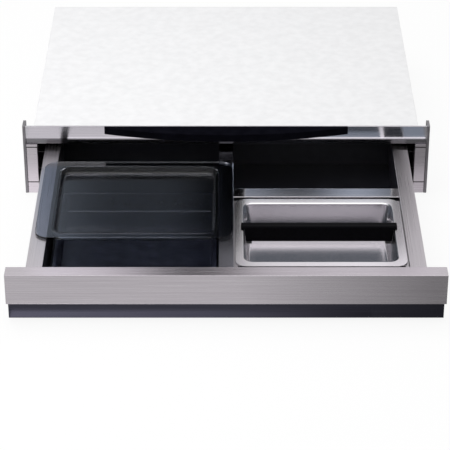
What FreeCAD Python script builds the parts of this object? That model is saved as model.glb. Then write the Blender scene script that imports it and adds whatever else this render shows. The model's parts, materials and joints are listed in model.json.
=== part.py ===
import FreeCAD
import Part
import math
import os
import Sketcher

# Warming drawer for a built-in range of kitchen appliances, in millimetres
# X runs to the right, Y runs into the cabinet, Z runs up
# The origin is the centre of the underside of the casing, and the drawer stands open

os.makedirs("parts", exist_ok=True)
doc = FreeCAD.newDocument("WarmingDrawer")
sheet = doc.addObject("Spreadsheet::Sheet", "Sizes")


class Length:
    """A size that knows its number and the sheet expression that gives it."""

    def __init__(self, number, text):
        self.number = number
        self.text = text

    def __add__(self, other):
        return Length(self.number + number_of(other), "(%s + %s)" % (self.text, text_of(other)))

    def __radd__(self, other):
        return Length(number_of(other) + self.number, "(%s + %s)" % (text_of(other), self.text))

    def __sub__(self, other):
        return Length(self.number - number_of(other), "(%s - %s)" % (self.text, text_of(other)))

    def __rsub__(self, other):
        return Length(number_of(other) - self.number, "(%s - %s)" % (text_of(other), self.text))

    def __mul__(self, other):
        return Length(self.number * number_of(other), "(%s * %s)" % (self.text, text_of(other)))

    def __rmul__(self, other):
        return self * other

    def __truediv__(self, other):
        return Length(self.number / number_of(other), "(%s / %s)" % (self.text, text_of(other)))

    def __neg__(self):
        return Length(-self.number, "(0 - %s)" % self.text)


def number_of(value):
    return value.number if isinstance(value, Length) else float(value)


def text_of(value):
    return value.text if isinstance(value, Length) else repr(float(value))


def root(value):
    return Length(math.sqrt(value.number), "sqrt(%s)" % value.text)


def slope(angle):
    """How far a wall leans for each unit of its height."""
    return Length(math.tan(math.radians(angle.number)), "tan(%s * 1 deg)" % angle.text)


rows_used = []


def size(name, number):
    """Writes one driving size into the sheet under its name."""
    rows_used.append(name)
    row = len(rows_used)
    sheet.set("A%d" % row, name)
    sheet.set("B%d" % row, str(number))
    sheet.setAlias("B%d" % row, name)
    return Length(float(number), "Sizes.%s" % name)


# Overall sizes and the casing
overall_width = size("overall_width", 762)
overall_height = size("overall_height", 145)
case_depth = size("case_depth", 540)
case_lap = size("case_lap", 4)
case_sheet = size("case_sheet", 1.0)
case_flange = size("case_flange", 15)
fit_gap = size("fit_gap", 0.3)
cut_over = size("cut_over", 2)

# Front frame of the casing
trim_thickness = size("trim_thickness", 5.5)
trim_depth = size("trim_depth", 24)
trim_proud = size("trim_proud", 1)
trim_edge = size("trim_edge", 0.8)
band_height = size("band_height", 26)
frame_sheet = size("frame_sheet", 1.2)
band_return = size("band_return", 2.4)
strip_height = size("strip_height", 12.6)
strip_recess = size("strip_recess", 4)
strip_return = size("strip_return", 17)
frame_bend = size("frame_bend", 0.8)
stile_width = size("stile_width", 20.5)
stile_depth = size("stile_depth", 18)
stile_seam = size("stile_seam", 0.6)
stile_cap_height = size("stile_cap_height", 5.6)
stile_foot_height = size("stile_foot_height", 22.8)
stile_foot_raise = size("stile_foot_raise", 3)

# Bow-fronted control panel
panel_width = size("panel_width", 454.6)
panel_height = size("panel_height", 15)
panel_bow = size("panel_bow", 34)
panel_end = size("panel_end", 4)
panel_shell = size("panel_shell", 2.4)
panel_boss_radius = size("panel_boss_radius", 4.5)
panel_edge = size("panel_edge", 1)
board_width = size("board_width", 190)
board_depth = size("board_depth", 60)
board_sheet = size("board_sheet", 1.6)
board_standoff = size("board_standoff", 6)
board_post = size("board_post", 2.5)
board_post_shares_across = (-0.45, 0.45)
board_post_shares_along = (0.1, 0.9)
relay_length = size("relay_length", 28)
relay_width = size("relay_width", 12)
relay_height = size("relay_height", 14)
relay_pitch = size("relay_pitch", 45)

# Drawer box and its opening
opening = size("opening", 424)
box_rear_gap = size("box_rear_gap", 40)
rail_clearance = size("rail_clearance", 14.5)
rail_width = size("rail_width", 28.5)
rail_gap = size("rail_gap", 8.4)
rail_sheet = size("rail_sheet", 1.2)
rail_lip = size("rail_lip", 5)
rail_edge = size("rail_edge", 0.9)
box_sheet = size("box_sheet", 1)
side_cavity = size("side_cavity", 15)
floor_height = size("floor_height", 22)
floor_flange = size("floor_flange", 12)
back_return = size("back_return", 12)
divider_width = size("divider_width", 26)
divider_drop = size("divider_drop", 0.8)
cross_place = size("cross_place", 243)
cross_width = size("cross_width", 31)
cross_drop = size("cross_drop", 1.5)
cross_floor_gap = size("cross_floor_gap", 4.5)

# Drawer front
front_inset = size("front_inset", 1)
front_thickness = size("front_thickness", 27.5)
front_sheet = size("front_sheet", 1.2)
front_bend = size("front_bend", 1)
front_rise = size("front_rise", 9.5)
lower_height = size("lower_height", 31)
lower_setback = size("lower_setback", 6)
lower_inset = size("lower_inset", 3)
lower_sheet = size("lower_sheet", 1.5)
seal_thickness = size("seal_thickness", 1.7)
seal_width = size("seal_width", 9)
seal_inset = size("seal_inset", 5)

# Telescopic slides
slide_rear_gap = size("slide_rear_gap", 60)
slide_setback = size("slide_setback", 10)
slide_thickness = size("slide_thickness", 12.7)
slide_height = size("slide_height", 45)
slide_drop = size("slide_drop", 36)
slide_sheet = size("slide_sheet", 1.2)
slide_step = size("slide_step", 2.6)
slide_play = size("slide_play", 0.35)
slide_ball_gap = size("slide_ball_gap", 3.2)

# Loose pans, tray and bar
pan_divider_gap = size("pan_divider_gap", 3)
pan_rail_gap = size("pan_rail_gap", 2.5)
pan_front_gap = size("pan_front_gap", 5.5)
pan_length = size("pan_length", 229.5)
pan_rim_drop = size("pan_rim_drop", 1.5)
pan_rim_width = size("pan_rim_width", 15)
pan_rim_height = size("pan_rim_height", 3.6)
pan_corner = size("pan_corner", 19)
pan_floor_gap = size("pan_floor_gap", 10.5)
pan_sheet = size("pan_sheet", 1)
pan_draft = size("pan_draft", 6.5)
pan_foot_round = size("pan_foot_round", 7)
pan_foot_bevel = size("pan_foot_bevel", 5)
pan_bowl_corner = size("pan_bowl_corner", 16)
pan_mouth_bevel = size("pan_mouth_bevel", 1.6)
pan_rest_width = size("pan_rest_width", 7)
pan_rest_height = size("pan_rest_height", 14)
bar_place = size("bar_place", 129)
bar_width = size("bar_width", 17)
bar_rise = size("bar_rise", 4)
bar_face = size("bar_face", 29)
bar_inset = size("bar_inset", 0.6)
bar_rim_overlap = size("bar_rim_overlap", 5)
bar_sleeve = size("bar_sleeve", 3)
bar_round = size("bar_round", 2.5)
bar_end_length = size("bar_end_length", 10)
bar_end_drop = size("bar_end_drop", 6.7)
left_pan_rail_gap = size("left_pan_rail_gap", 10)
left_pan_divider_gap = size("left_pan_divider_gap", 4)
left_pan_front_gap = size("left_pan_front_gap", 8)
left_pan_length = size("left_pan_length", 310)
left_pan_height = size("left_pan_height", 36)
left_pan_rim = size("left_pan_rim", 5)
left_pan_draft = size("left_pan_draft", 5)
left_pan_corner = size("left_pan_corner", 12)
left_pan_bowl_corner = size("left_pan_bowl_corner", 10)
left_pan_foot_round = size("left_pan_foot_round", 5)
left_pan_foot_bevel = size("left_pan_foot_bevel", 3.5)
left_pan_rim_height = size("left_pan_rim_height", 2)
tray_rail_inset = size("tray_rail_inset", 7)
tray_divider_inset = size("tray_divider_inset", 0.5)
tray_place = size("tray_place", 91)
tray_length = size("tray_length", 274)
tray_rim_ends = size("tray_rim_ends", 18)
tray_glass = size("tray_glass", 4)
tray_wall_gap = size("tray_wall_gap", 6)
tray_depth = size("tray_depth", 18)
tray_corner = size("tray_corner", 24)
tray_draft = size("tray_draft", 8)
tray_bowl_corner = size("tray_bowl_corner", 18)
tray_foot_round = size("tray_foot_round", 5)
tray_foot_bevel = size("tray_foot_bevel", 4)

# Heating, wiring and fixings inside the casing
element_radius = size("element_radius", 3.25)
element_height = size("element_height", 9)
element_side_gap = size("element_side_gap", 129)
element_bend = size("element_bend", 30)
element_front = size("element_front", 150)
saddle_width = size("saddle_width", 10)
saddle_pitch = size("saddle_pitch", 220)
ceiling_clearance = size("ceiling_clearance", 9.5)
insulation_height = size("insulation_height", 26)
insulation_front = size("insulation_front", 110)
insulation_back = size("insulation_back", 90)
terminal_length = size("terminal_length", 60)
terminal_width = size("terminal_width", 26)
terminal_height = size("terminal_height", 18)
terminal_well = size("terminal_well", 4)
terminal_well_shares = (1 / 6, 1 / 2, 5 / 6)
conduit_radius = size("conduit_radius", 11.1)
conduit_inset = size("conduit_inset", 129)
conduit_rise = size("conduit_rise", 15.5)
thermostat_radius = size("thermostat_radius", 9)
thermostat_depth = size("thermostat_depth", 7)
thermostat_lug = size("thermostat_lug", 6)
thermostat_place = size("thermostat_place", 150)
thermostat_drop = size("thermostat_drop", 38)
fixing_radius = size("fixing_radius", 2.75)
fixing_side_inset = size("fixing_side_inset", 59)
fixing_end_inset = size("fixing_end_inset", 70)
slot_length = size("slot_length", 40)
slot_width = size("slot_width", 5)
slot_pitch = size("slot_pitch", 14)
slot_count = 4
screw_radius = size("screw_radius", 3.4)
screw_head = size("screw_head", 1.6)
screw_length = size("screw_length", 8)
screw_shares = (-0.3, 0.3)

doc.recompute()
front = -case_depth / 2
back = case_depth / 2
fascia_half = overall_width / 2 - trim_thickness
stile_inner = fascia_half - stile_width
case_half = stile_inner + case_lap
strip_top = overall_height - band_height
strip_bottom = strip_top - strip_height
rail_top = strip_bottom - rail_gap
door = front - opening
pieces = {}


def keep(label, thing):
    """Names a finished sub-part."""
    thing.Label = label
    pieces[label] = thing
    return thing


def new_body(label):
    return keep(label, doc.addObject("PartDesign::Body", label))


def sketch_across(body, axis, place):
    """A sketch square to an axis of the body, at a place along it."""
    role = {"x": "YZ_Plane", "y": "XZ_Plane", "z": "XY_Plane"}[axis]
    sketch = body.newObject("Sketcher::SketchObject", body.Name + "_sketch")
    planes = [feature for feature in body.Origin.OriginFeatures if feature.Role == role]
    sketch.AttachmentSupport = [(planes[0], "")]
    sketch.MapMode = "FlatFace"
    offset = -place if axis == "y" else place
    sketch.setExpression("AttachmentOffset.Base.z", text_of(offset))
    return sketch


def hold(sketch, kind, first, corner, value):
    """Ties a point of the sketch to its origin by a size."""
    index = sketch.addConstraint(Sketcher.Constraint(kind, -1, 1, first, corner, number_of(value)))
    if isinstance(value, Length):
        sketch.setExpression("Constraints[%d]" % index, value.text)


def outline(sketch, points):
    """A closed outline of straight lines through points of named sizes."""
    start = sketch.GeometryCount
    count = len(points)
    spots = [FreeCAD.Vector(number_of(a), number_of(b), 0) for a, b in points]
    for index in range(count):
        sketch.addGeometry(Part.LineSegment(spots[index], spots[(index + 1) % count]), False)
    for index in range(count):
        follower = (index + 1) % count
        sketch.addConstraint(Sketcher.Constraint("Coincident", start + index, 2, start + follower, 1))
    for index, (a, b) in enumerate(points):
        hold(sketch, "DistanceX", start + index, 1, a)
        hold(sketch, "DistanceY", start + index, 1, b)


def circles(sketch, centres, radius):
    start = sketch.GeometryCount
    for index, (a, b) in enumerate(centres):
        centre = FreeCAD.Vector(number_of(a), number_of(b), 0)
        sketch.addGeometry(Part.Circle(centre, FreeCAD.Vector(0, 0, 1), number_of(radius)), False)
        ring = sketch.addConstraint(Sketcher.Constraint("Radius", start + index, number_of(radius)))
        sketch.setExpression("Constraints[%d]" % ring, radius.text)
        hold(sketch, "DistanceX", start + index, 3, a)
        hold(sketch, "DistanceY", start + index, 3, b)


def rounded(sketch, low_a, low_b, high_a, high_b, radius):
    """A rectangle with four equal round corners."""
    start = sketch.GeometryCount
    a0, b0 = number_of(low_a), number_of(low_b)
    a1, b1 = number_of(high_a), number_of(high_b)
    r = number_of(radius)
    up = FreeCAD.Vector(0, 0, 1)
    corners = [(a1 - r, b0 + r, -90), (a1 - r, b1 - r, 0), (a0 + r, b1 - r, 90), (a0 + r, b0 + r, 180)]
    sides = [((a0 + r, b0), (a1 - r, b0)), ((a1, b0 + r), (a1, b1 - r)),
             ((a1 - r, b1), (a0 + r, b1)), ((a0, b1 - r), (a0, b0 + r))]
    for (side_start, side_end), (centre_a, centre_b, angle) in zip(sides, corners):
        first = FreeCAD.Vector(side_start[0], side_start[1], 0)
        last = FreeCAD.Vector(side_end[0], side_end[1], 0)
        sketch.addGeometry(Part.LineSegment(first, last), False)
        circle = Part.Circle(FreeCAD.Vector(centre_a, centre_b, 0), up, r)
        turn = math.radians(angle)
        sketch.addGeometry(Part.ArcOfCircle(circle, turn, turn + math.pi / 2), False)
    for index in range(8):
        follower = start + (index + 1) % 8
        sketch.addConstraint(Sketcher.Constraint("Tangent", start + index, 2, follower, 1))
    for index in (0, 4):
        sketch.addConstraint(Sketcher.Constraint("Horizontal", start + index))
    for index in (2, 6):
        sketch.addConstraint(Sketcher.Constraint("Vertical", start + index))
    for index in (3, 5):
        sketch.addConstraint(Sketcher.Constraint("Equal", start + 1, start + index))
    ring = sketch.addConstraint(Sketcher.Constraint("Radius", start + 1, r))
    sketch.setExpression("Constraints[%d]" % ring, text_of(radius))
    hold(sketch, "DistanceY", start, 1, low_b)
    hold(sketch, "DistanceX", start + 2, 1, high_a)
    hold(sketch, "DistanceY", start + 4, 1, high_b)
    hold(sketch, "DistanceX", start + 6, 1, low_a)


def rectangle(low_a, low_b, high_a, high_b):
    return [(low_a, low_b), (high_a, low_b), (high_a, high_b), (low_a, high_b)]


def add(body, axis, low, high, draw):
    """Pads what draw() sketches, from low to high along an axis."""
    sketch = sketch_across(body, axis, high if axis == "y" else low)
    draw(sketch)
    feature = body.newObject("PartDesign::Pad", body.Name + "_pad")
    feature.Profile = sketch
    feature.setExpression("Length", text_of(high - low))
    return feature


def remove(body, axis, low, high, draw):
    """Pockets what draw() sketches, from low to high along an axis."""
    sketch = sketch_across(body, axis, low if axis == "y" else high)
    draw(sketch)
    feature = body.newObject("PartDesign::Pocket", body.Name + "_pocket")
    feature.Profile = sketch
    feature.setExpression("Length", text_of(high - low))
    return feature


def prism(label, axis, low, high, points):
    """A body with one straight outline along an axis."""
    body = new_body(label)
    add(body, axis, low, high, lambda sketch: outline(sketch, points))
    return body


def soften(body, wanted, radius, kind="Fillet"):
    """Rounds or bevels the edges of the body that wanted() picks."""
    doc.recompute()
    tip = body.Tip
    names = ["Edge%d" % (n + 1) for n, edge in enumerate(tip.Shape.Edges) if wanted(edge)]
    if not names:
        raise ValueError("no edge to soften on " + body.Label)
    feature = body.newObject("PartDesign::" + kind, body.Name + "_" + kind.lower())
    feature.Base = (tip, names)
    feature.setExpression("Radius" if kind == "Fillet" else "Size", text_of(radius))
    return feature


NEAR = 0.01


def lies(edge, **limits):
    """True where the edge's whole box lies at the given x, y or z."""
    box = edge.BoundBox
    spans = {"x": (box.XMin, box.XMax), "y": (box.YMin, box.YMax), "z": (box.ZMin, box.ZMax)}
    return all(abs(number_of(value) - end) < NEAR for axis, value in limits.items() for end in spans[axis])


def runs(edge, axis):
    """True where the edge is straight along an axis."""
    box = edge.BoundBox
    spans = {"x": box.XLength, "y": box.YLength, "z": box.ZLength}
    return all((length > NEAR) == (name == axis) for name, length in spans.items())


def block(label, low, high):
    """A plain rectangular piece between two corners."""
    piece = doc.addObject("Part::Box", label)
    for name, corner, a, b in zip(("Length", "Width", "Height"), "xyz", low, high):
        piece.setExpression(name, text_of(b - a))
        piece.setExpression("Placement.Base." + corner, text_of(a))
    return piece


def peg(label, axis, centre, start, end, radius):
    """A round pin along an axis, centred on two sizes across it."""
    piece = doc.addObject("Part::Cylinder", label)
    piece.setExpression("Radius", text_of(radius))
    piece.setExpression("Height", text_of(end - start))
    turn = {"x": ((0, 1, 0), 90), "y": ((1, 0, 0), -90), "z": ((0, 0, 1), 0)}
    direction, angle = turn[axis]
    piece.Placement = FreeCAD.Placement(
        FreeCAD.Vector(0, 0, 0), FreeCAD.Rotation(FreeCAD.Vector(*direction), angle))
    first, second = centre
    places = {"x": (start, first, second), "y": (first, start, second), "z": (first, second, start)}
    for corner, value in zip("xyz", places[axis]):
        piece.setExpression("Placement.Base." + corner, text_of(value))
    return piece


def fused(label, members):
    """Solids fused together."""
    fusion = doc.addObject("Part::MultiFuse", label)
    fusion.Shapes = members
    return fusion


def joined(label, members):
    """A sub-part of several solids fused together."""
    return keep(label, fused(label, members))


def group(label, members):
    """Separate like solids under one name."""
    bundle = doc.addObject("Part::Compound", label)
    bundle.Links = members
    return keep(label, bundle)


def mirrored(points, side):
    """Points with their first size on the chosen side."""
    return [(a * side, b) for a, b in points]


def ordered(a, b):
    return (a, b) if number_of(a) < number_of(b) else (b, a)


SIDES = (("left", -1), ("right", 1))


# Casing: base pan with turned-up edges, fixing holes and rear air slots
shell_front = front + strip_recess + strip_return + fit_gap
base_half = case_half - case_sheet
base_pan = prism("base_pan", "y", shell_front, back - case_sheet, [
    (-base_half, 0), (base_half, 0), (base_half, case_flange), (base_half - case_sheet, case_flange),
    (base_half - case_sheet, case_sheet), (case_sheet - base_half, case_sheet),
    (case_sheet - base_half, case_flange), (-base_half, case_flange)])
fixing_x = case_half - fixing_side_inset
fixing_y = back - fixing_end_inset
fixings = [(fixing_x * a, fixing_y * b) for a in (-1, 1) for b in (-1, 1)]
below = -cut_over
remove(base_pan, "z", below, case_sheet + cut_over, lambda sketch: circles(sketch, fixings, fixing_radius))


def slots(body, axis, low, high, first_a, first_b):
    """A row of equal punched air slots."""
    sketch = sketch_across(body, axis, low if axis == "y" else high)
    outline(sketch, rectangle(first_a, first_b, first_a + slot_length, first_b + slot_width))
    feature = body.newObject("PartDesign::Pocket", body.Name + "_slot")
    feature.Profile = sketch
    feature.setExpression("Length", text_of(high - low))
    doc.recompute()
    row = body.newObject("PartDesign::LinearPattern", body.Name + "_slots")
    row.Originals = [feature]
    row.Direction = (sketch, ["V_Axis"])
    row.setExpression("Length", text_of(slot_pitch * (slot_count - 1)))
    row.Occurrences = slot_count
    body.Tip = row


slots(base_pan, "z", below, case_sheet + cut_over,
      -slot_length / 2, back - slot_pitch * slot_count - case_flange)

# Casing sides, back and top
for name, side in SIDES:
    outer = case_half * side
    flange_low = overall_height - case_sheet * 2
    prism("side_panel_" + name, "y", shell_front, back, [
        (outer, 0), (outer, overall_height - case_sheet),
        ((case_half - case_flange) * side, overall_height - case_sheet),
        ((case_half - case_flange) * side, flange_low),
        ((case_half - case_sheet) * side, flange_low), ((case_half - case_sheet) * side, 0)])

ceiling_low = rail_top + ceiling_clearance
insulation_low = ceiling_low + case_sheet
conduit_place = case_half - conduit_inset
conduit_height = insulation_low + conduit_rise
back_panel = prism("back_panel", "y", back - case_sheet, back,
                   rectangle(-base_half, 0, base_half, overall_height - case_sheet * 2))
remove(back_panel, "y", back - case_sheet - cut_over, back + cut_over,
       lambda sketch: circles(sketch, [(conduit_place, conduit_height)], conduit_radius))
slots(back_panel, "y", back - case_sheet - cut_over, back + cut_over,
      -conduit_place, case_flange + slot_width)

top_cover = prism("top_cover", "z", overall_height - case_sheet, overall_height,
                  rectangle(-case_half, front + band_return + fit_gap, case_half, back))

# Ceiling over the drawer, and the blanket on it
prism("cavity_ceiling", "z", ceiling_low, insulation_low,
      rectangle(-base_half, shell_front, base_half, back - case_sheet))
keep("insulation_blanket", block(
    "insulation_blanket",
    (case_flange - case_half, front + insulation_front, insulation_low),
    (case_half - case_flange, back - insulation_back, insulation_low + insulation_height)))

# Front frame: polished band, recessed strip, stiles with caps and feet, dark side trims
band = prism("fascia_band", "x", -fascia_half, fascia_half, [
    (front, strip_top), (front + strip_recess, strip_top), (front + strip_recess, strip_top + frame_sheet),
    (front + frame_sheet, strip_top + frame_sheet), (front + frame_sheet, overall_height - frame_sheet),
    (front + band_return, overall_height - frame_sheet), (front + band_return, overall_height),
    (front, overall_height)])
soften(band, lambda edge: runs(edge, "x") and lies(edge, y=front), frame_bend)
panel_low = overall_height - panel_height
panel_middle = overall_height - panel_height / 2
screw_places = [(panel_width * share, panel_middle) for share in screw_shares]
screw_shank = screw_radius / 2
remove(band, "y", front - cut_over, front + frame_sheet + cut_over,
       lambda sketch: circles(sketch, screw_places, screw_shank))
strip = prism("recess_strip", "x", -fascia_half, fascia_half, [
    (front + strip_recess, strip_bottom), (front + strip_recess + strip_return, strip_bottom),
    (front + strip_recess + strip_return, strip_bottom + frame_sheet),
    (front + strip_recess + frame_sheet, strip_bottom + frame_sheet),
    (front + strip_recess + frame_sheet, strip_top), (front + strip_recess, strip_top)])

cap_low = strip_bottom - stile_cap_height
foot_top = stile_foot_raise + stile_foot_height
caps = []
for name, side in SIDES:
    inner, outer = stile_inner * side, fascia_half * side
    wall_in, wall_out = (stile_inner + frame_sheet) * side, (fascia_half - frame_sheet) * side
    rear = front + stile_depth
    stile = prism("stile_" + name, "z", foot_top + stile_seam, cap_low - stile_seam, [
        (inner, front), (outer, front), (outer, rear), (wall_out, rear),
        (wall_out, front + frame_sheet), (wall_in, front + frame_sheet), (wall_in, rear), (inner, rear)])
    soften(stile, lambda edge: runs(edge, "z") and lies(edge, y=front), frame_bend)
    low, high = ordered(inner, outer)
    foot = prism("stile_foot_" + name, "z", stile_foot_raise, foot_top, rectangle(low, front, high, rear))
    soften(foot, lambda edge: runs(edge, "z") and lies(edge, y=front), frame_bend)
    caps.append(block("stile_cap_" + name, (low, front, cap_low), (high, rear, strip_bottom)))
    near, far = ordered(outer, overall_width / 2 * side)
    trim = prism("side_trim_" + name, "z", stile_foot_raise, overall_height,
                 rectangle(near, front - trim_proud, far, front + trim_depth))
    soften(trim, lambda edge: runs(edge, "z") and lies(edge, y=front - trim_proud), trim_edge, "Chamfer")
group("stile_caps", caps)


def bow(sketch, half, base, end, depth):
    """A flat back and short straight ends, joined by a bowed front as deep as given at its middle."""
    rise = depth - end
    radius = (half * half + rise * rise) / (rise * 2)
    start = sketch.GeometryCount
    a, b, r = number_of(half), number_of(base), number_of(radius)
    tip = b - number_of(end)
    turn = math.atan2(r - number_of(rise), a)
    corners = [FreeCAD.Vector(*spot, 0) for spot in ((-a, tip), (-a, b), (a, b), (a, tip))]
    for first, last in zip(corners, corners[1:]):
        sketch.addGeometry(Part.LineSegment(first, last), False)
    circle = Part.Circle(FreeCAD.Vector(0, b - number_of(depth) + r, 0), FreeCAD.Vector(0, 0, 1), r)
    sketch.addGeometry(Part.ArcOfCircle(circle, turn - math.pi, -turn), False)
    for index, follower, near, far in ((0, 1, 2, 1), (1, 2, 2, 1), (2, 3, 2, 2), (3, 0, 1, 1)):
        sketch.addConstraint(Sketcher.Constraint("Coincident", start + index, near, start + follower, far))
    for line, place_a, place_b in ((0, -half, base - end), (1, -half, base), (2, half, base)):
        hold(sketch, "DistanceX", start + line, 1, place_a)
        hold(sketch, "DistanceY", start + line, 1, place_b)
    hold(sketch, "DistanceX", start + 2, 2, half)
    hold(sketch, "DistanceY", start + 2, 2, base - end)
    ring = sketch.addConstraint(Sketcher.Constraint("Radius", start + 3, r))
    sketch.setExpression("Constraints[%d]" % ring, radius.text)


# Bow-fronted control panel: a black shell, open behind, screwed to the band
control_panel = new_body("control_panel")
add(control_panel, "z", panel_low, overall_height,
    lambda sketch: bow(sketch, panel_width / 2, front, panel_end, panel_bow))
remove(control_panel, "z", panel_low + panel_shell, overall_height - panel_shell,
       lambda sketch: bow(sketch, panel_width / 2 - panel_shell, front + cut_over,
                          panel_end - panel_shell + cut_over, panel_bow - panel_shell + cut_over))
panel_rise = panel_bow - panel_end
panel_curve = (panel_width * panel_width / 4 + panel_rise * panel_rise) / (panel_rise * 2)
for spot in screw_places:
    reach = root(panel_curve * panel_curve - spot[0] * spot[0]) - panel_curve + panel_bow - panel_shell / 2
    add(control_panel, "y", front - reach, front,
        lambda sketch: circles(sketch, [spot], panel_boss_radius))
remove(control_panel, "y", front - screw_length, front,
       lambda sketch: circles(sketch, screw_places, screw_shank))
soften(control_panel, lambda edge: edge.Curve.TypeId == "Part::GeomCircle"
       and edge.Curve.Radius > panel_width.number / 2 + panel_bow.number
       and edge.BoundBox.XLength > panel_width.number - panel_shell.number, panel_edge, "Chamfer")
screws = []
for spot in screw_places:
    screws.append(fused("panel_screw", [
        peg("screw_shank", "y", spot, front - screw_length, front + frame_sheet, screw_shank),
        peg("screw_head", "y", spot, front + frame_sheet, front + frame_sheet + screw_head, screw_radius)]))
group("panel_screws", screws)

# Telescopic slides: outer member on a bracket, nested middle member, inner member on the drawer
travel = opening - seal_thickness - fit_gap
rail_half = stile_inner - rail_clearance
rail_inner = rail_half - rail_width
slide_in = rail_inner + side_cavity
slide_out = slide_in + slide_thickness
slide_tip = slide_in + slide_step
middle_web = slide_out - slide_sheet - slide_play
heights = [slide_height / 2]
for member in range(2):
    heights.append(heights[-1] - slide_sheet - slide_ball_gap)
closed_front = front + slide_setback
slide_length = case_depth - slide_rear_gap
slide_centre = rail_top - slide_drop


def channel(web_far, web_near, tip, half, side):
    """A C-shaped section: its web from far to near, its two flanges reaching the tip."""
    top, bottom = slide_centre + half, slide_centre - half
    return mirrored([
        (web_far, bottom), (tip, bottom), (tip, bottom + slide_sheet), (web_near, bottom + slide_sheet),
        (web_near, top - slide_sheet), (tip, top - slide_sheet), (tip, top), (web_far, top)], side)


for name, side in SIDES:
    prism("slide_outer_" + name, "y", closed_front, closed_front + slide_length,
          channel(slide_out, slide_out - slide_sheet, slide_tip, heights[0], side))
    middle_front = closed_front - travel / 2
    prism("slide_middle_" + name, "y", middle_front, middle_front + slide_length,
          channel(middle_web, middle_web - slide_sheet, slide_tip, heights[1], side))
    inner_front = closed_front - travel
    prism("slide_inner_" + name, "y", inner_front, inner_front + slide_length,
          channel(slide_in, slide_in + slide_sheet,
                  middle_web - slide_sheet - slide_play, heights[2], side))
    prism("slide_bracket_" + name, "y", shell_front, closed_front + slide_length,
          channel(slide_out, slide_out + slide_sheet, case_half - case_sheet, heights[1], side))

# Heating element: one tube bent into a U, its two tails reaching the back panel
element_half_width = case_half - element_side_gap
element_y = front + element_front
wall_y = back - case_sheet


def bent_path(corners, radius_of_bend, height):
    """A path of straight runs and round bends through corner points at one height."""
    spots = [FreeCAD.Vector(number_of(a), number_of(b), number_of(height)) for a, b in corners]
    bend = number_of(radius_of_bend)
    edges = []
    here = spots[0]
    for before, corner, after in zip(spots, spots[1:], spots[2:]):
        arrive = (corner - before).normalize()
        leave = (after - corner).normalize()
        first = corner - arrive * bend
        last = corner + leave * bend
        middle = corner + (leave - arrive) * bend * (1 - math.sqrt(0.5))
        if (first - here).Length > NEAR:
            edges.append(Part.LineSegment(here, first).toShape())
        edges.append(Part.Arc(first, middle, last).toShape())
        here = last
    edges.append(Part.LineSegment(here, spots[-1]).toShape())
    return Part.Wire(edges)


corners = [(-element_half_width, wall_y), (-element_half_width, element_y),
           (element_half_width, element_y), (element_half_width, wall_y)]
element_path = bent_path(corners, element_bend, element_height)
tube_start = FreeCAD.Vector(number_of(-element_half_width), number_of(wall_y), number_of(element_height))
tube_ring = Part.Wire(Part.makeCircle(element_radius.number, tube_start, FreeCAD.Vector(0, -1, 0)))
element = doc.addObject("Part::Feature", "heating_element")
element.Shape = element_path.makePipeShell([tube_ring], True, False)
keep("heating_element", element)

saddles = []
saddle_front = element_y + element_bend * 2
for side in (-1, 1):
    place_x = element_half_width * side
    for place_y in (saddle_front, saddle_front + saddle_pitch):
        foot = block("saddle_foot", (place_x - element_radius * 2, place_y - saddle_width / 2, case_sheet),
                     (place_x + element_radius * 2, place_y + saddle_width / 2, element_height))
        groove = peg("saddle_groove", "y", (place_x, element_height), place_y - saddle_width,
                     place_y + saddle_width, element_radius)
        saddle = doc.addObject("Part::Cut", "saddle")
        saddle.Base = foot
        saddle.Tool = groove
        saddles.append(saddle)
group("element_saddles", saddles)

# Thermostat on the back panel, terminal block and control board on the ceiling
thermostat_spot = (-thermostat_place, rail_top - thermostat_drop)
thermostat_plate = thermostat_radius + thermostat_lug
joined("thermostat", [
    peg("thermostat_cup", "y", thermostat_spot, wall_y - thermostat_depth, wall_y - case_sheet,
        thermostat_radius),
    block("thermostat_flange",
          (thermostat_spot[0] - thermostat_plate, wall_y - case_sheet,
           thermostat_spot[1] - thermostat_radius),
          (thermostat_spot[0] + thermostat_plate, wall_y, thermostat_spot[1] + thermostat_radius))])
terminal_x = conduit_place - terminal_length / 2
terminal_y = wall_y - terminal_width * 2
terminal_top = insulation_low + terminal_height
terminal_body = block("terminal_body", (terminal_x, terminal_y, insulation_low),
                      (terminal_x + terminal_length, terminal_y + terminal_width, terminal_top))
terminal_wells = []
for share in terminal_well_shares:
    well_x = terminal_x + terminal_length * share
    well_y = terminal_y + terminal_width / 2
    terminal_wells.append(block(
        "terminal_well",
        (well_x - terminal_well, well_y - terminal_well, terminal_top - terminal_height / 2),
        (well_x + terminal_well, well_y + terminal_well, terminal_top + cut_over)))
terminal = doc.addObject("Part::Cut", "terminal_block")
terminal.Base = terminal_body
terminal.Tool = fused("terminal_wells", terminal_wells)
keep("terminal_block", terminal)

board_front = front + strip_recess + strip_return + case_flange
board_low = insulation_low + board_standoff
board_parts = [block("board_plate", (-board_width / 2, board_front, board_low),
                     (board_width / 2, board_front + board_depth, board_low + board_sheet))]
for a in board_post_shares_across:
    for b in board_post_shares_along:
        post_x = board_width * a
        post_y = board_front + board_depth * b
        board_parts.append(block(
            "board_post", (post_x - board_post, post_y - board_post, insulation_low),
            (post_x + board_post, post_y + board_post, board_low)))
for count in range(3):
    relay_x = -relay_pitch + relay_pitch * count
    relay_front = board_front + case_flange
    relay_low = board_low + board_sheet
    board_parts.append(block(
        "relay", (relay_x - relay_length / 2, relay_front, relay_low),
        (relay_x + relay_length / 2, relay_front + relay_width, relay_low + relay_height)))
joined("control_board", board_parts)

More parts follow.
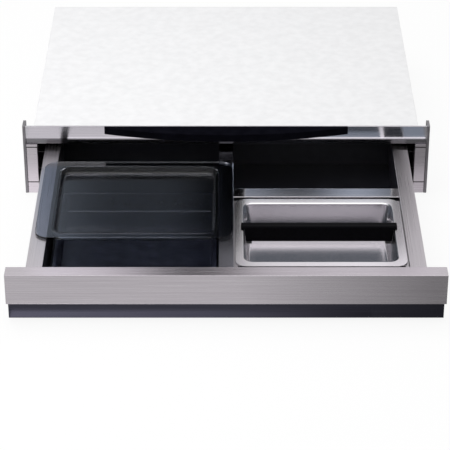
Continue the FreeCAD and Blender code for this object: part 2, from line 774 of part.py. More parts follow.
# Drawer box: folded sides with steel caps, floor, back, divider, cross bar and pan rests
box_end = door + case_depth - box_rear_gap
rail_under = rail_top - rail_sheet
floor_low = floor_height + box_sheet
floor_top = floor_low + box_sheet
for name, side in SIDES:
    prism("drawer_side_" + name, "y", door, box_end, mirrored([
        (rail_inner - floor_flange, floor_height), (slide_in, floor_height), (slide_in, rail_under),
        (slide_in - box_sheet, rail_under), (slide_in - box_sheet, floor_low),
        (rail_inner + box_sheet, floor_low), (rail_inner + box_sheet, rail_under), (rail_inner, rail_under),
        (rail_inner, floor_low), (rail_inner - floor_flange, floor_low)], side))
    cap = prism("rail_cap_" + name, "y", door, box_end, mirrored([
        (rail_inner, rail_under), (rail_half - rail_sheet, rail_under),
        (rail_half - rail_sheet, rail_top - rail_lip), (rail_half, rail_top - rail_lip),
        (rail_half, rail_top), (rail_inner, rail_top)], side))
    soften(cap, lambda edge: runs(edge, "y") and lies(edge, z=rail_top), rail_edge)

prism("drawer_floor", "z", floor_low, floor_top,
      rectangle(-rail_inner, door, rail_inner, box_end - box_sheet))
prism("drawer_back", "x", -rail_inner, rail_inner, [
    (box_end - box_sheet, floor_low), (box_end, floor_low), (box_end, rail_under),
    (box_end - back_return, rail_under), (box_end - back_return, rail_under - box_sheet),
    (box_end - box_sheet, rail_under - box_sheet)])

divider_half = divider_width / 2
divider_top = rail_top - divider_drop
divider = prism("divider", "y", door, box_end - back_return, [
    (-divider_half, floor_top), (box_sheet - divider_half, floor_top),
    (box_sheet - divider_half, divider_top - box_sheet),
    (divider_half - box_sheet, divider_top - box_sheet),
    (divider_half - box_sheet, floor_top), (divider_half, floor_top),
    (divider_half, divider_top), (-divider_half, divider_top)])
soften(divider, lambda edge: runs(edge, "y") and lies(edge, z=divider_top), rail_edge)

cross_y = door + cross_place
cross_end = cross_y + cross_width
cross_top = rail_top - cross_drop
cross_low = floor_top + cross_floor_gap
cross_bar = prism("cross_bar", "x", divider_half, rail_inner, [
    (cross_y, cross_low), (cross_y + box_sheet, cross_low), (cross_y + box_sheet, cross_top - box_sheet),
    (cross_end - box_sheet, cross_top - box_sheet), (cross_end - box_sheet, cross_low),
    (cross_end, cross_low), (cross_end, cross_top), (cross_y, cross_top)])
soften(cross_bar, lambda edge: runs(edge, "x") and lies(edge, z=cross_top), rail_edge)

pan_top = rail_top - pan_rim_drop
rest_top = pan_top - pan_rim_height - fit_gap
pan_y = door + pan_front_gap
pan_end = pan_y + pan_length
for name, wall_x, toward in (("inner", divider_half, 1), ("outer", rail_inner, -1)):
    prism("pan_rest_" + name, "y", pan_y, pan_end, [
        (wall_x, rest_top - pan_rest_height), (wall_x + box_sheet * toward, rest_top - pan_rest_height),
        (wall_x + box_sheet * toward, rest_top - box_sheet),
        (wall_x + pan_rest_width * toward, rest_top - box_sheet),
        (wall_x + pan_rest_width * toward, rest_top), (wall_x, rest_top)])

# Drawer front: folded steel shell over a dark lower strip, closed by end caps and a backing
face_y = door - front_thickness
lower_low = front_rise
face_low = lower_low + lower_height
lower_y = face_y + lower_setback
front_half = fascia_half - front_inset
lower_half = front_half - lower_inset
shell = prism("drawer_front", "x", -front_half, front_half, [
    (door, rail_top), (face_y, rail_top), (face_y, face_low), (lower_y + lower_sheet, face_low),
    (lower_y + lower_sheet, face_low + front_sheet), (face_y + front_sheet, face_low + front_sheet),
    (face_y + front_sheet, rail_top - front_sheet), (door, rail_top - front_sheet)])
soften(shell, lambda edge: runs(edge, "x") and lies(edge, y=face_y), front_bend)
prism("front_lower_strip", "x", -lower_half, lower_half, [
    (lower_y, lower_low), (door - front_sheet, lower_low), (door - front_sheet, lower_low + lower_sheet),
    (lower_y + lower_sheet, lower_low + lower_sheet), (lower_y + lower_sheet, face_low),
    (lower_y, face_low)])
end_caps = []
for name, side in SIDES:
    low, high = ordered((front_half - front_sheet) * side, front_half * side)
    end_caps.append(block("front_end_cap", (low, face_y + front_sheet, face_low + front_sheet),
                          (high, door - front_sheet, rail_top - front_sheet)))
group("front_end_caps", end_caps)
prism("front_backing", "x", -lower_half, lower_half, rectangle(
    door - front_sheet, lower_low, door, rail_top - front_sheet))
keep("front_filler", block(
    "front_filler", (seal_width - front_half, lower_y + lower_sheet + fit_gap, lower_low + lower_sheet),
    (front_half - seal_width, door - front_sheet, rail_top - front_sheet)))
seals = []
for name, side in SIDES:
    low, high = ordered((front_half - seal_inset - seal_width) * side, (front_half - seal_inset) * side)
    seals.append(block("front_seal", (low, door, lower_low + seal_inset),
                       (high, door + seal_thickness, rail_top - seal_inset)))
group("front_seals", seals)


def dish(label, low, high, top, rim_corner, rim_height, mouth_low, mouth_high,
         bowl_corner, depth, wall, draft, foot_round, foot_bevel, mouth_bevel=None):
    """A pressed dish: a flat rim with rounded corners and a tapered bowl under it."""
    body = new_body(label)
    rim_low = top - rim_height
    add(body, "z", rim_low, top, lambda sketch: rounded(sketch, *low, *high, rim_corner))
    sketch = sketch_across(body, "z", rim_low)
    rounded(sketch, mouth_low[0] - wall, mouth_low[1] - wall, mouth_high[0] + wall, mouth_high[1] + wall,
            bowl_corner + wall)
    bowl = body.newObject("PartDesign::Pad", label + "_bowl")
    bowl.Profile = sketch
    bowl.Reversed = True
    bowl.setExpression("Length", text_of(depth - rim_height))
    bowl.setExpression("TaperAngle", text_of(-draft))
    sketch = sketch_across(body, "z", top)
    rounded(sketch, *mouth_low, *mouth_high, bowl_corner)
    hollow = body.newObject("PartDesign::Pocket", label + "_hollow")
    hollow.Profile = sketch
    hollow.setExpression("Length", text_of(depth - wall))
    hollow.setExpression("TaperAngle", text_of(-draft))
    reach = (number_of(mouth_low[0]) - NEAR, number_of(mouth_high[0]) + NEAR)

    def at_mouth(edge):
        inside = edge.BoundBox.XMin > reach[0] and edge.BoundBox.XMax < reach[1]
        return inside and lies(edge, z=top) and abs(edge.BoundBox.YMin - number_of(low[1])) > NEAR \
            and abs(edge.BoundBox.YMax - number_of(high[1])) > NEAR

    if mouth_bevel:
        soften(body, at_mouth, mouth_bevel, "Chamfer")
    soften(body, lambda edge: lies(edge, z=top - depth + wall), foot_round)
    soften(body, lambda edge: lies(edge, z=top - depth), foot_bevel, "Chamfer")
    return body


# Steam pan resting between the divider and the right side
pan_left = divider_half + pan_divider_gap
pan_right = rail_inner - pan_rail_gap
pan_depth = pan_top - floor_top - pan_floor_gap
mouth_low = (pan_left + pan_rim_width, pan_y + pan_rim_width)
mouth_high = (pan_right - pan_rim_width, pan_end - pan_rim_width)
dish("steam_pan", (pan_left, pan_y), (pan_right, pan_end), pan_top, pan_corner, pan_rim_height,
     mouth_low, mouth_high, pan_bowl_corner, pan_depth, pan_sheet, pan_draft, pan_foot_round,
     pan_foot_bevel, pan_mouth_bevel)

# Bar across the pan: a rubber sleeve over a steel core with two legs
bar_low_y = door + bar_place
bar_high_y = bar_low_y + bar_width
ledge = pan_top + fit_gap
bar_top = ledge + bar_rise
bar_bottom = bar_top - bar_face
sleeve_start = mouth_low[0] + bar_inset
sleeve_end = mouth_high[0] - bar_inset
sleeve_lean = (ledge - bar_bottom) * slope(pan_draft)
bar = prism("bar_sleeve", "x", mouth_low[0] - bar_rim_overlap, mouth_high[0] + bar_rim_overlap,
            rectangle(bar_low_y, ledge, bar_high_y, bar_top))
add(bar, "y", bar_low_y, bar_high_y, lambda sketch: outline(sketch, [
    (sleeve_start, ledge + bar_rise / 2), (sleeve_start, ledge), (sleeve_start + sleeve_lean, bar_bottom),
    (sleeve_end - sleeve_lean, bar_bottom), (sleeve_end, ledge), (sleeve_end, ledge + bar_rise / 2)]))
core_start = sleeve_start + sleeve_lean + bar_sleeve
core_end = sleeve_end - sleeve_lean - bar_sleeve
remove(bar, "x", core_start, core_end, lambda sketch: outline(sketch, rectangle(
    bar_low_y + bar_sleeve, bar_bottom - cut_over, bar_high_y - bar_sleeve, ledge)))
soften(bar, lambda edge: runs(edge, "x") and lies(edge, z=bar_top), bar_round)
leg_low = bar_bottom - bar_end_drop
leg_lean = (ledge - leg_low) * slope(pan_draft)
core_parts = [block("bar_core_beam", (core_start, bar_low_y + bar_sleeve, bar_bottom),
                    (core_end, bar_high_y - bar_sleeve, ledge))]
for leg_start in (sleeve_start + leg_lean, sleeve_end - leg_lean - bar_end_length):
    core_parts.append(block("bar_core_leg", (leg_start, bar_low_y + bar_sleeve, leg_low),
                            (leg_start + bar_end_length, bar_high_y - bar_sleeve, bar_bottom)))
joined("bar_core", core_parts)

# Low dark pan on the floor of the left bay
left_top = floor_top + fit_gap + left_pan_height
left_low = (left_pan_rail_gap - rail_inner, door + left_pan_front_gap)
left_high = (-divider_half - left_pan_divider_gap, left_low[1] + left_pan_length)
dish("left_pan", left_low, left_high, left_top, left_pan_corner, left_pan_rim_height,
     (left_low[0] + left_pan_rim, left_low[1] + left_pan_rim),
     (left_high[0] - left_pan_rim, left_high[1] - left_pan_rim), left_pan_bowl_corner, left_pan_height,
     pan_sheet, left_pan_draft, left_pan_foot_round, left_pan_foot_bevel)

# Clear glass tray lying across the left rail and the divider
tray_low = (tray_rail_inset - rail_half, door + tray_place)
tray_high = (divider_half - tray_divider_inset, tray_low[1] + tray_length)
tray_top = rail_top + fit_gap + tray_glass
tray = dish("glass_tray", tray_low, tray_high, tray_top, tray_corner, tray_glass,
            (tray_glass + tray_wall_gap - rail_inner, tray_low[1] + tray_rim_ends),
            (-divider_half - tray_wall_gap, tray_high[1] - tray_rim_ends),
            tray_bowl_corner, tray_depth, tray_glass, tray_draft, tray_foot_round, tray_foot_bevel)

# Every object of the document has to be sound before a piece is written
doc.recompute()
for thing in doc.Objects:
    if "Invalid" in thing.State or "Error" in thing.State:
        raise ValueError("failed object " + thing.Name)
for label, thing in pieces.items():
    if thing.Shape.isNull() or not thing.Shape.isValid():
        raise ValueError("unsound shape " + label)
    thing.Shape.exportStep("parts/%s.step" % label)
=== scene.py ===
import json
import math

import bpy
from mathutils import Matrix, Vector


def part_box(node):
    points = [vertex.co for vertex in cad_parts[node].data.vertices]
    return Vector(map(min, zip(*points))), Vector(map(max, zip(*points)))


# Looks of the warming drawer: finishes, floor, lights and camera
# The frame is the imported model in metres: X to the right, Y into the cabinet, Z up, drawer open

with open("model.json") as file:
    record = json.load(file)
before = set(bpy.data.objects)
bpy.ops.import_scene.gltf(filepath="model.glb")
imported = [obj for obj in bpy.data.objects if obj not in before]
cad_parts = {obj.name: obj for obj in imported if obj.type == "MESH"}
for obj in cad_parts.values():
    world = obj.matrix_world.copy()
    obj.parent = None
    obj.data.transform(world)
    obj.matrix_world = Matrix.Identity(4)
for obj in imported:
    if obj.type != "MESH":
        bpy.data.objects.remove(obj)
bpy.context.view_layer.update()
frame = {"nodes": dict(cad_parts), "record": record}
MM = 0.001
MICRON = 0.001 * MM


# Camera, fitted to the photograph
CAMERA_PLACE = (-0.0021, -3.5668, 1.8730)
CAMERA_DOWN = math.radians(30.5)
SENSOR = 36.0
PHOTO_WIDTH = 450
FOCAL_PIXELS = 1990.7


def make_camera():
    data = bpy.data.cameras.new("camera")
    data.sensor_width = SENSOR
    data.lens = FOCAL_PIXELS / PHOTO_WIDTH * SENSOR
    camera = bpy.data.objects.new("camera", data)
    camera.location = CAMERA_PLACE
    camera.rotation_euler = (math.pi / 2 - CAMERA_DOWN, 0, 0)
    bpy.context.collection.objects.link(camera)
    bpy.context.scene.camera = camera


# Node helpers for the materials
EDGE_ROUND = 0.8 * MM
EDGE_SAMPLES = 4
SEAM_SOFTNESS = 1.3
SEAM_SHADOW = (0.01, 0.01, 0.01)


def new_material(name):
    material = bpy.data.materials.new(name)
    material.use_nodes = True
    shader = material.node_tree.nodes["Principled BSDF"]
    return material, shader


def bare_material(name):
    material = bpy.data.materials.new(name)
    material.use_nodes = True
    material.node_tree.nodes.clear()
    return material


def add_node(tree, kind, **values):
    node = tree.nodes.new(kind)
    for key, value in values.items():
        setattr(node, key, value)
    return node


def calculate(tree, operation, *values):
    """A maths node on sockets and plain numbers."""
    node = add_node(tree, "ShaderNodeMath", operation=operation)
    for socket, value in zip(node.inputs, values):
        if isinstance(value, bpy.types.NodeSocket):
            tree.links.new(value, socket)
        else:
            socket.default_value = value
    return node.outputs[0]


def mix_shaders(tree, factor, first, second):
    mix = add_node(tree, "ShaderNodeMixShader")
    tree.links.new(factor, mix.inputs["Fac"])
    tree.links.new(first.outputs[0], mix.inputs[1])
    tree.links.new(second.outputs[0], mix.inputs[2])
    return mix.outputs[0]


def coordinate(tree, axis):
    """The place along one axis, in object space."""
    place = add_node(tree, "ShaderNodeTexCoord")
    parts = add_node(tree, "ShaderNodeSeparateXYZ")
    tree.links.new(place.outputs["Object"], parts.inputs["Vector"])
    return parts.outputs[axis]


def noise(tree, stretch, detail):
    """Noise in object space, with so many cells per metre along each axis."""
    place = add_node(tree, "ShaderNodeTexCoord")
    mapping = add_node(tree, "ShaderNodeMapping")
    mapping.inputs["Scale"].default_value = stretch
    texture = add_node(tree, "ShaderNodeTexNoise")
    texture.inputs["Scale"].default_value = 1.0
    texture.inputs["Detail"].default_value = detail
    texture.inputs["Roughness"].default_value = 0.5
    tree.links.new(place.outputs["Object"], mapping.inputs["Vector"])
    tree.links.new(mapping.outputs["Vector"], texture.inputs["Vector"])
    return texture.outputs["Fac"]


def spread(tree, source, low, high, start=0.3, end=0.7):
    """Maps a socket's range from start to end onto low to high. The default range is that of a noise."""
    span = add_node(tree, "ShaderNodeMapRange")
    span.inputs["From Min"].default_value = start
    span.inputs["From Max"].default_value = end
    span.inputs["To Min"].default_value = low
    span.inputs["To Max"].default_value = high
    tree.links.new(source, span.inputs["Value"])
    return span.outputs["Result"]


def blend_colours(tree, factor, first, second):
    """The first colour where the factor is nought, and the second, a colour or a socket, where it is one."""
    mix = add_node(tree, "ShaderNodeMix", data_type="RGBA")
    mix.inputs["A"].default_value = (*first, 1)
    if isinstance(second, bpy.types.NodeSocket):
        tree.links.new(second, mix.inputs["B"])
    else:
        mix.inputs["B"].default_value = (*second, 1)
    tree.links.new(factor, mix.inputs["Factor"])
    return mix.outputs["Result"]


def raise_bumps(tree, shader, source, depth):
    """Relief of one depth, on edges that catch the light as if slightly rounded."""
    edges = add_node(tree, "ShaderNodeBevel", samples=EDGE_SAMPLES)
    edges.inputs["Radius"].default_value = EDGE_ROUND
    bump = add_node(tree, "ShaderNodeBump")
    tree.links.new(edges.outputs["Normal"], bump.inputs["Normal"])
    bump.inputs["Strength"].default_value = 1.0
    bump.inputs["Distance"].default_value = depth
    tree.links.new(source, bump.inputs["Height"])
    tree.links.new(bump.outputs["Normal"], shader.inputs["Normal"])


def grained(name, first, second, roughness, grain, relief, metallic=1.0, detail=2.0, shine=0.5):
    """A finish whose colour, roughness and relief follow one stretched grain."""
    material, shader = new_material(name)
    tree = material.node_tree
    source = noise(tree, grain, detail)
    colour = blend_colours(tree, spread(tree, source, 0, 1), first, second)
    tree.links.new(colour, shader.inputs["Base Color"])
    tree.links.new(spread(tree, source, *roughness), shader.inputs["Roughness"])
    shader.inputs["Metallic"].default_value = metallic
    shader.inputs["Specular IOR Level"].default_value = shine
    raise_bumps(tree, shader, source, relief)
    return material


def darken_seam(material, upper, lower, half_width):
    """Draws the shadow of the narrow gap between one CAD node and the one below it."""
    tree = material.node_tree
    socket = tree.nodes["Principled BSDF"].inputs["Base Color"]
    height = (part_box(upper)[0][2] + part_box(lower)[1][2]) / 2
    distance = calculate(tree, "ABSOLUTE", calculate(tree, "SUBTRACT", coordinate(tree, "Z"), height))
    away = spread(tree, distance, 0, 1, half_width, SEAM_SOFTNESS * half_width)
    tree.links.new(blend_colours(tree, away, SEAM_SHADOW, socket.links[0].from_socket), socket)


# Finishes: each makes one material, for a slot of the record or for some nodes of it
ALONG_X = (6, 900, 900)
ALONG_Y = (900, 6, 900)
EVEN = (60, 60, 60)
FINE = (500, 500, 500)
FLUFFY = (400, 400, 400)
PLASTIC = 0.0
METAL = 1.0
SEAM_HALF = 0.9 * MM


def brushed_front():
    return grained("brushed_front", (0.46, 0.43, 0.46), (0.53, 0.5, 0.53), (0.2, 0.28),
                   ALONG_X, 5 * MICRON)


def stile_steel():
    material = grained("stile_steel", (0.46, 0.43, 0.46), (0.53, 0.5, 0.53), (0.26, 0.36),
                       ALONG_X, 6 * MICRON)
    darken_seam(material, "stile_caps", "stile_left", SEAM_HALF)
    darken_seam(material, "stile_left", "stile_foot_left", SEAM_HALF)
    return material


def brushed_rail():
    return grained("brushed_rail", (0.44, 0.42, 0.44), (0.52, 0.5, 0.52), (0.26, 0.38),
                   ALONG_Y, 6 * MICRON)


def dark_divider():
    return grained("dark_divider", (0.2, 0.2, 0.23), (0.26, 0.26, 0.29), (0.16, 0.22),
                   ALONG_Y, 2 * MICRON)


def polished_steel():
    return grained("polished_steel", (0.58, 0.56, 0.59), (0.64, 0.62, 0.65), (0.1, 0.16),
                   ALONG_X, MICRON)


def satin_band():
    return grained("satin_band", (0.5, 0.49, 0.52), (0.56, 0.55, 0.58), (0.14, 0.2),
                   ALONG_X, MICRON)


def dark_recess():
    return grained("dark_recess", (0.17, 0.165, 0.18), (0.22, 0.215, 0.23), (0.16, 0.22),
                   ALONG_X, MICRON)


def satin_pan():
    return grained("satin_pan", (0.72, 0.7, 0.73), (0.76, 0.74, 0.77), (0.19, 0.22),
                   FINE, 0.3 * MICRON)


def dark_strip():
    return grained("dark_strip", (0.033, 0.033, 0.046), (0.045, 0.045, 0.06), (0.17, 0.23),
                   ALONG_X, 2 * MICRON)


def dark_trim():
    return grained("dark_trim", (0.16, 0.155, 0.165), (0.21, 0.2, 0.215), (0.3, 0.42),
                   EVEN, 3 * MICRON, metallic=0.6)


def black_panel():
    return grained("black_panel", (0.003, 0.003, 0.005), (0.005, 0.005, 0.008), (0.3, 0.4),
                   EVEN, 2 * MICRON, PLASTIC, shine=0.0)


def dark_enamel():
    return grained("dark_enamel", (0.006, 0.006, 0.009), (0.012, 0.012, 0.016), (0.28, 0.4),
                   EVEN, 20 * MICRON, PLASTIC)


def dark_pan():
    return grained("dark_pan", (0.01, 0.011, 0.02), (0.018, 0.02, 0.034), (0.14, 0.24),
                   EVEN, 10 * MICRON, PLASTIC)


def zinc_steel():
    return grained("zinc_steel", (0.42, 0.43, 0.45), (0.6, 0.61, 0.63), (0.32, 0.48),
                   EVEN, 10 * MICRON, METAL, detail=6.0)


def pale_cover():
    return grained("pale_cover", (0.76, 0.76, 0.77), (0.82, 0.82, 0.83), (0.4, 0.52),
                   EVEN, 10 * MICRON, PLASTIC)


def slide_steel():
    return grained("slide_steel", (0.5, 0.5, 0.52), (0.6, 0.6, 0.62), (0.25, 0.38),
                   ALONG_Y, 4 * MICRON)


def black_steel():
    return grained("black_steel", (0.01, 0.01, 0.01), (0.02, 0.02, 0.02), (0.4, 0.55),
                   EVEN, 10 * MICRON, PLASTIC)


def black_rubber():
    return grained("black_rubber", (0.001, 0.001, 0.0015), (0.003, 0.003, 0.004), (0.4, 0.5),
                   FINE, 10 * MICRON, PLASTIC, shine=0.03)


def seal_rubber():
    return grained("seal_rubber", (0.03, 0.03, 0.03), (0.045, 0.045, 0.045), (0.6, 0.75),
                   EVEN, 20 * MICRON, PLASTIC)


def insulation():
    return grained("insulation", (0.6, 0.56, 0.42), (0.75, 0.72, 0.6), (0.9, 1.0),
                   FLUFFY, 0.6 * MM, PLASTIC, detail=6.0)


def black_foam():
    return grained("black_foam", (0.012, 0.012, 0.013), (0.025, 0.025, 0.027), (0.8, 0.95),
                   FLUFFY, 0.4 * MM, PLASTIC, detail=6.0)


def element_sheath():
    return grained("element_sheath", (0.1, 0.1, 0.11), (0.2, 0.19, 0.19), (0.4, 0.6),
                   EVEN, 10 * MICRON, metallic=0.8, detail=5.0)


def terminal_plastic():
    return grained("terminal_plastic", (0.72, 0.72, 0.68), (0.78, 0.78, 0.75), (0.45, 0.6),
                   EVEN, 10 * MICRON, PLASTIC)


def board():
    return grained("board", (0.02, 0.1, 0.04), (0.03, 0.14, 0.06), (0.35, 0.5),
                   (200, 200, 200), 20 * MICRON, PLASTIC)


def clear_glass():
    material, shader = new_material("clear_glass")
    tree = material.node_tree
    waves = noise(tree, (18, 18, 18), detail=1.0)
    tree.links.new(spread(tree, waves, 0.0, 0.03), shader.inputs["Roughness"])
    colour = blend_colours(tree, waves, (0.53, 0.55, 0.6), (0.57, 0.59, 0.64))
    tree.links.new(colour, shader.inputs["Base Color"])
    shader.inputs["Transmission Weight"].default_value = 1.0
    shader.inputs["IOR"].default_value = 1.47
    raise_bumps(tree, shader, waves, 20 * MICRON)
    return material


SLOT_FINISHES = (
    brushed_front, brushed_rail, polished_steel, satin_pan, dark_strip, dark_trim, black_panel,
    dark_enamel, dark_pan, zinc_steel, pale_cover, slide_steel, black_steel, black_rubber,
    seal_rubber, insulation, element_sheath, terminal_plastic, board, clear_glass)
NODE_FINISHES = {
    "fascia_band": satin_band,
    "recess_strip": dark_recess,
    "divider": dark_divider,
    "front_filler": black_foam,
    "stile_caps": stile_steel,
    "stile_left": stile_steel,
    "stile_right": stile_steel,
    "stile_foot_left": stile_steel,
    "stile_foot_right": stile_steel}


def dress_nodes():
    """Gives each CAD node the finish of its slot, or its own."""
    slot_finishes = {finish.__name__: finish for finish in SLOT_FINISHES}
    made = {}
    for part in frame["record"]["subparts"]:
        finish = NODE_FINISHES.get(part["node"], slot_finishes[part["material_slot"]])
        if finish not in made:
            made[finish] = finish()
        piece = frame["nodes"][part["node"]]
        if not piece.material_slots:
            piece.data.materials.append(made[finish])
        for place in piece.material_slots:
            place.material = made[finish]


# World and floor, white to the camera
WHITE = (1.0, 1.0, 1.0, 1)
WORLD_LIGHT = 0.55
FLOOR_SIZE = 24
FLOOR_DROP = 0.05 * MM
FLOOR_COLOUR = (0.92, 0.92, 0.92, 1)
FLOOR_GLOW = 0.9
FLOOR_FADE = (20 * MM, 370 * MM)
# The floor's glow as mirrors see it, from left to right: a painted reflection on the steel
FLOOR_MIRRORED = (0.82, 0.26)


def seen_ray(tree):
    """One for camera, glossy and transmission rays, nought for the rest."""
    path = add_node(tree, "ShaderNodeLightPath")
    total = path.outputs["Is Camera Ray"]
    for name in ("Is Glossy Ray", "Is Transmission Ray"):
        total = calculate(tree, "MAXIMUM", total, path.outputs[name])
    return total


def make_background(tree, strength):
    background = add_node(tree, "ShaderNodeBackground")
    background.inputs["Color"].default_value = WHITE
    background.inputs["Strength"].default_value = strength
    return background


def make_world():
    world = bpy.data.worlds.new("studio")
    world.use_nodes = True
    tree = world.node_tree
    tree.nodes.clear()
    lighting = make_background(tree, WORLD_LIGHT)
    seen = make_background(tree, 1.0)
    output = add_node(tree, "ShaderNodeOutputWorld")
    tree.links.new(mix_shaders(tree, seen_ray(tree), lighting, seen), output.inputs["Surface"])
    bpy.context.scene.world = world


def make_floor():
    """A white floor that keeps the object's shadow. To mirrors it glows darker to the right, a painted
    reflection.
    """
    bpy.ops.mesh.primitive_plane_add(size=FLOOR_SIZE, location=(0, 0, -FLOOR_DROP))
    floor = bpy.context.object
    floor.name = "floor"
    material, shader = new_material("floor")
    tree = material.node_tree
    shader.inputs["Base Color"].default_value = FLOOR_COLOUR
    shader.inputs["Roughness"].default_value = 0.9
    path = add_node(tree, "ShaderNodeLightPath")
    strength = add_node(tree, "ShaderNodeMix", data_type="FLOAT")
    tree.links.new(path.outputs["Is Camera Ray"], strength.inputs["Factor"])
    # Mirrors see the floor glow darker to the right: a painted reflection
    tree.links.new(spread(tree, coordinate(tree, "X"), *FLOOR_MIRRORED, *FLOOR_FADE), strength.inputs["A"])
    strength.inputs["B"].default_value = 1.0
    light = add_node(tree, "ShaderNodeEmission")
    light.inputs["Color"].default_value = WHITE
    tree.links.new(strength.outputs["Result"], light.inputs["Strength"])
    share = calculate(tree, "MULTIPLY", seen_ray(tree), FLOOR_GLOW)
    surface = tree.nodes["Material Output"].inputs["Surface"]
    tree.links.new(mix_shaders(tree, share, shader, light), surface)
    floor.data.materials.append(material)


# Glowing cards, no lamps, that only mirrors and glass see: painted reflections, placed in millimetres around
# CAD nodes
COOL = (0.75, 0.85, 1.0)
WARM = (1.0, 0.97, 1.0)


def glow_along(tree, glows, left, right):
    """Shares of the peak glow at evenly spaced places from left to right, softly joined."""
    ramp = add_node(tree, "ShaderNodeValToRGB")
    ramp.color_ramp.interpolation = "B_SPLINE"
    stops = ramp.color_ramp.elements
    while len(stops) < len(glows):
        stops.new(1.0)
    for number, glow in enumerate(glows):
        stops[number].position = number / (len(glows) - 1)
        stops[number].color = (glow, glow, glow, 1)
    along = spread(tree, coordinate(tree, "X"), 0, 1, left, right)
    tree.links.new(along, ramp.inputs["Fac"])
    return ramp.outputs["Color"]


def make_card(name, x, y, z, colour, peak, glows=(1, 1)):
    """A card that glows on its front, and is clear from behind.

    It spans x from left to right, and runs from the first to the second place of y and z.
    """
    (left, right), (near, far), (low, high) = [(first * MM, last * MM) for first, last in (x, y, z)]
    mesh = bpy.data.meshes.new(name)
    corners = [(left, near, low), (right, near, low), (right, far, high), (left, far, high)]
    mesh.from_pydata(corners, [], [(0, 1, 2, 3)])
    card = bpy.data.objects.new(name, mesh)
    bpy.context.collection.objects.link(card)
    material = bare_material(name)
    tree = material.node_tree
    light = add_node(tree, "ShaderNodeEmission")
    light.inputs["Color"].default_value = (*colour, 1)
    strength = calculate(tree, "MULTIPLY", glow_along(tree, glows, left, right), peak)
    tree.links.new(strength, light.inputs["Strength"])
    side = add_node(tree, "ShaderNodeNewGeometry")
    clear = add_node(tree, "ShaderNodeBsdfTransparent")
    output = add_node(tree, "ShaderNodeOutputMaterial")
    tree.links.new(mix_shaders(tree, side.outputs["Backfacing"], light, clear), output.inputs["Surface"])
    mesh.materials.append(material)
    card.visible_camera = False
    card.visible_diffuse = False
    card.visible_shadow = False


def level(place):
    """One place for both ends of a card."""
    return (place, place)


def box_in_mm(node):
    """Low and high corner of a CAD node in millimetres."""
    return [[value / MM for value in corner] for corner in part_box(node)]


def light_drawer():
    """Cards before the control panel, which the tray, rail, cross bar and drawer front mirror."""
    plane = level(box_in_mm("control_panel")[0][1] - 6)
    make_card("over_tray", x=(-360, 35), y=plane, z=(122, 300), colour=COOL, peak=1.0,
              glows=(0.9, 0.4, 0.2, 0.2, 0.2, 0, 0))
    make_card("tray_edge", x=(20, 200), y=plane, z=(90, 114), colour=COOL, peak=3.0)
    make_card("over_bar", x=(36, 310), y=plane, z=(145, 182), colour=COOL, peak=1.0,
              glows=(0.4, 0.1, 0.1, 0.7, 0.2))
    make_card("over_door", x=(-376, 388), y=plane, z=(310, 620), colour=WARM, peak=1.5,
              glows=(0.9, 0.9, 0.8, 0.4, 0, 0.3, 0.6, 0.6, 0.7, 0.7, 0.7))
    rail_plane = level(box_in_mm("fascia_band")[0][1] - 4)
    make_card("over_rail", x=(315, 415), y=rail_plane, z=(99, 420), colour=WARM, peak=1.2,
              glows=(0, 0.25, 0.5, 0.75, 1, 1))


def light_pan():
    """The pan's floor mirrors a bright strip under a dim one, and its back wall a dark strip by the bar."""
    (left, _, floor), (right, back, rim) = box_in_mm("steam_pan")
    inside = (left + 19, right - 19.5)
    make_card("pan_low", x=inside, y=level(back - 19), z=(floor + 1.5, floor + 29.5), colour=WARM, peak=1.2)
    make_card("pan_high", x=inside, y=level(back - 18), z=(floor + 33.5, rim + 23.5), colour=COOL, peak=0.12)
    make_card("pan_shade", x=(left + 29, right - 28.5), y=(back - 109, back - 20), z=level(floor + 2.3),
              colour=COOL, peak=0.05)


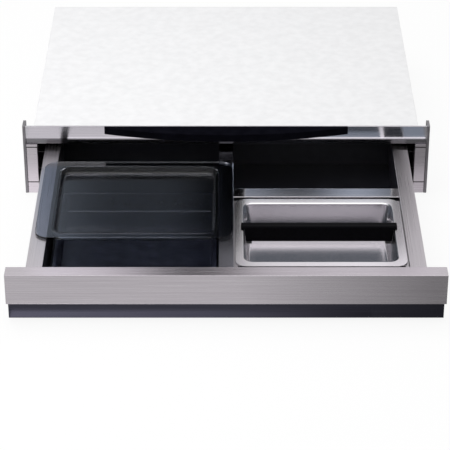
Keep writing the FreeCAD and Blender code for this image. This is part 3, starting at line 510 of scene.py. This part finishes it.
def light_band():
    """The band mirrors a pale left side with one gap, a dark right side with one glint, and a bright line."""
    _, front, bottom = box_in_mm("fascia_band")[0]
    near, middle, line, far = front - 70, front - 40, front - 17, front - 2
    below = level(bottom - 7)
    line_below = level(bottom - 6.5)
    make_card("band_end_left", x=(-375, -312), y=(near, far), z=below, colour=WARM, peak=0.95)
    make_card("band_left", x=(-298, -100), y=(near, far), z=below, colour=WARM, peak=0.9)
    make_card("band_right_top", x=(100, 291), y=(near, middle), z=below, colour=COOL, peak=0.13)
    make_card("band_right_low", x=(100, 291), y=(middle, line), z=below, colour=COOL, peak=0.38)
    make_card("band_glint", x=(291, 298), y=(near, far), z=below, colour=WARM, peak=1.2)
    make_card("band_dark", x=(299, 334), y=(near, far), z=below, colour=COOL, peak=0.05)
    make_card("band_end_right", x=(335, 375), y=(near, far), z=below, colour=COOL, peak=0.42)
    make_card("band_line_left", x=(-298, -130), y=(line, far), z=line_below, colour=WARM, peak=1.4)
    make_card("band_line_right", x=(115, 375), y=(line, far), z=line_below, colour=WARM, peak=1.8)


def light_ends():
    """Low cards before the lower strip and the stiles' feet, and a high one for the drawer's upper edge."""
    low = level(0.5)
    strip_front = box_in_mm("drawer_front")[0][1]
    frame_front = box_in_mm("fascia_band")[0][1]
    make_card("low_glow", x=(-372, 250), y=(strip_front - 30.5, strip_front - 8.5), z=low, colour=WARM,
              peak=2.8, glows=(1, 0.85, 0.7, 0.55, 0.3, 0.1))
    foot_reach = (frame_front - 100, frame_front - 2)
    make_card("foot_left", x=(-420, -345), y=foot_reach, z=low, colour=WARM, peak=1.4)
    make_card("foot_right", x=(345, 420), y=foot_reach, z=low, colour=WARM, peak=0.8)
    make_card("over_edge", x=(-800, 800), y=(-750, -1450), z=(2100, 1750), colour=WARM, peak=2.2)


# Lamps, hidden from mirrors so that pale steel doesn't clip
def make_lamp(name, place, target, width, height, power):
    data = bpy.data.lights.new(name, "AREA")
    data.shape = "RECTANGLE"
    data.size = width
    data.size_y = height
    data.energy = power
    lamp = bpy.data.objects.new(name, data)
    lamp.location = place
    along, across, down = [t - p for t, p in zip(target, place)]
    tilt = math.pi / 2 + math.atan2(down, math.hypot(along, across))
    lamp.rotation_euler = (tilt, 0, math.atan2(across, along) - math.pi / 2)
    lamp.visible_glossy = False
    bpy.context.collection.objects.link(lamp)


make_camera()
dress_nodes()
make_world()
make_floor()
light_drawer()
light_pan()
light_band()
light_ends()
make_lamp("overhead", place=(-0.5, -0.4, 2.4), target=(0, -0.3, 0), width=2.2, height=1.6, power=36)
make_lamp("left_side", place=(-2.2, -1.8, 1.1), target=(0, -0.5, 0.05), width=1.2, height=1.0, power=14)
bpy.context.scene.view_settings.view_transform = "Standard"
